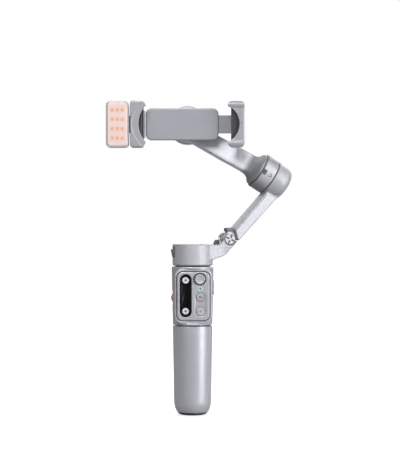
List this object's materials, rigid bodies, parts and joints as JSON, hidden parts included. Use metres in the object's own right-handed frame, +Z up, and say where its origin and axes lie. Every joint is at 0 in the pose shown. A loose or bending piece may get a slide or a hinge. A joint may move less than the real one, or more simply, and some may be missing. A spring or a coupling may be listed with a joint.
{
  "type": "phone gimbal stabilizer",
  "caption": "Handheld folding phone gimbal with pan, tilt and roll stages, sprung phone clamp, clip-on light, pull-off remote, telescopic rod and tripod legs in the grip.",
  "frame": {"origin": "centre of the closed grip's foot, where the three leg feet meet", "axes": "+Z up the grip along the pan axis, the control panel and the phone's screen face -Y, +X to the panel's right"},
  "size_m": [0.1639, 0.0563, 0.2763],
  "materials": {
    "shell": "satin metallic paint",
    "arm": "satin metallic paint",
    "frame": "satin",
    "dark": "matt",
    "rubber": "matt",
    "steel": "brushed",
    "rotor": "turned",
    "winding": "wound wire",
    "board": "solder mask",
    "cell": "shrink wrap",
    "screen": "polished",
    "button": "satin",
    "accent": "satin",
    "diffuser": "frosted",
    "lamp": "clear"
  },
  "bodies": {
    "handle": {"grip_front_shell": "shell", "grip_rear_shell": "shell", "guide_tube": "steel", "base_plug": "dark", "leg_hub": "dark", "battery_pack": "cell", "main_board": "board", "remote_dock": "dark", "wheel_pin": "steel", "trigger_pin": "steel", "front_leg_pin": "steel", "right_leg_pin": "steel", "left_leg_pin": "steel"},
    "front_leg_body": {"front_leg": "shell", "front_foot": "rubber"},
    "right_leg_body": {"right_leg": "shell", "right_foot": "rubber"},
    "left_leg_body": {"left_leg": "shell", "left_foot": "rubber"},
    "zoom_wheel_body": {"zoom_wheel": "accent"},
    "trigger_body": {"trigger": "dark"},
    "side_button_body": {"side_button": "frame"},
    "remote_body": {"remote_tray": "frame", "remote_face": "shell", "touch_strip": "screen", "remote_board": "board", "status_lamp": "lamp"},
    "upper_ring_button_body": {"upper_ring_button": "button"},
    "lower_ring_button_body": {"lower_ring_button": "button"},
    "mode_button_body": {"mode_button": "button"},
    "record_button_body": {"record_button": "button"},
    "stick_cradle_body": {"stick_cradle": "dark"},
    "stick_cap_body": {"stick_cap": "frame"},
    "rod_outer_body": {"rod_outer_tube": "steel"},
    "rod_inner_body": {"rod_inner_tube": "steel", "pan_base": "dark", "pan_stator": "winding"},
    "pan_body": {"pan_housing": "arm", "pan_rotor": "rotor", "fold_hook": "frame", "hinge_pin": "steel", "fold_bumper": "rubber"},
    "folding_arm_body": {"upper_arm": "arm", "hinge_knuckle": "arm", "hinge_collar": "rubber", "tilt_stator": "winding"},
    "tilt_body": {"tilt_drum": "arm", "roll_arm": "arm", "roll_cover": "frame", "roll_stator": "winding"},
    "clamp_body": {"roll_rotor": "rotor", "clamp_base": "frame", "fixed_jaw": "arm", "fixed_pad": "rubber", "clamp_spring": "steel"},
    "jaw_body": {"sliding_jaw": "arm", "sliding_pad": "rubber"},
    "light_body": {"light_case": "frame", "light_board": "board", "light_diffuser": "diffuser"}
  },
  "joints": [
    {"name": "rod_outer_slide", "type": "slide", "parent": "handle", "child": "rod_outer_body", "axis": [0, 0, 1], "range_m": [0, 0.09]},
    {"name": "rod_inner_slide", "type": "slide", "parent": "rod_outer_body", "child": "rod_inner_body", "axis": [0, 0, 1], "range_m": [0, 0.09]},
    {"name": "pan_turn", "type": "hinge", "parent": "rod_inner_body", "child": "pan_body", "pos_m": [0, 0, 0.142], "axis": [0, 0, 1], "range_deg": [-160, 160]},
    {"name": "arm_fold", "type": "hinge", "parent": "pan_body", "child": "folding_arm_body", "pos_m": [0.03062, 0.0082, 0.154], "axis": [0.2588, -0.9659, 0], "range_deg": [0, 98]},
    {"name": "tilt_turn", "type": "hinge", "parent": "folding_arm_body", "child": "tilt_body", "pos_m": [0.06839, 0.01832, 0.209], "axis": [-0.8227, -0.2204, 0.524], "range_deg": [-100, 80]},
    {"name": "roll_turn", "type": "hinge", "parent": "tilt_body", "child": "clamp_body", "pos_m": [-0.0046, -0.0012, 0.2555], "axis": [0, -1, 0], "range_deg": [-100, 100]},
    {"name": "jaw_slide", "type": "slide", "parent": "clamp_body", "child": "jaw_body", "axis": [1, 0, 0], "range_m": [-0.0175, 0.02], "deforming": ["clamp_spring"]},
    {"name": "light_slide", "type": "slide", "parent": "clamp_body", "child": "light_body", "axis": [-1, 0, 0], "range_m": [0, 0.012]},
    {"name": "remote_slide", "type": "slide", "parent": "handle", "child": "remote_body", "axis": [0, -1, 0], "range_m": [0, 0.02]},
    {"name": "upper_ring_press", "type": "slide", "parent": "remote_body", "child": "upper_ring_button_body", "axis": [0, 1, 0], "range_m": [0, 0.0004]},
    {"name": "lower_ring_press", "type": "slide", "parent": "remote_body", "child": "lower_ring_button_body", "axis": [0, 1, 0], "range_m": [0, 0.0004]},
    {"name": "mode_press", "type": "slide", "parent": "remote_body", "child": "mode_button_body", "axis": [0, 1, 0], "range_m": [0, 0.0004]},
    {"name": "record_press", "type": "slide", "parent": "remote_body", "child": "record_button_body", "axis": [0, 1, 0], "range_m": [0, 0.0004]},
    {"name": "stick_pitch", "type": "hinge", "parent": "remote_body", "child": "stick_cradle_body", "pos_m": [0.0064, -0.0158, 0.1194], "axis": [1, 0, 0], "range_deg": [-12, 12]},
    {"name": "stick_yaw", "type": "hinge", "parent": "stick_cradle_body", "child": "stick_cap_body", "pos_m": [0.0064, -0.0158, 0.1194], "axis": [0, 0, 1], "range_deg": [-12, 12]},
    {"name": "zoom_turn", "type": "hinge", "parent": "handle", "child": "zoom_wheel_body", "pos_m": [-0.0135, 0, 0.1027], "axis": [0, 1, 0], "continuous": true},
    {"name": "trigger_pull", "type": "hinge", "parent": "handle", "child": "trigger_body", "pos_m": [0, 0.0155, 0.119], "axis": [-1, 0, 0], "range_deg": [0, 5]},
    {"name": "side_press", "type": "slide", "parent": "handle", "child": "side_button_body", "axis": [-1, 0, 0], "range_m": [0, 0.0005]},
    {"name": "front_leg_swing", "type": "hinge", "parent": "handle", "child": "front_leg_body", "pos_m": [0, -0.015, 0.0761], "axis": [-1, 0, 0], "range_deg": [0, 45]},
    {"name": "right_leg_swing", "type": "hinge", "parent": "handle", "child": "right_leg_body", "pos_m": [0.01299, 0.0075, 0.0761], "axis": [0.5, -0.866, 0], "range_deg": [0, 45]},
    {"name": "left_leg_swing", "type": "hinge", "parent": "handle", "child": "left_leg_body", "pos_m": [-0.01299, 0.0075, 0.0761], "axis": [0.5, 0.866, 0], "range_deg": [0, 45]}
  ]
}
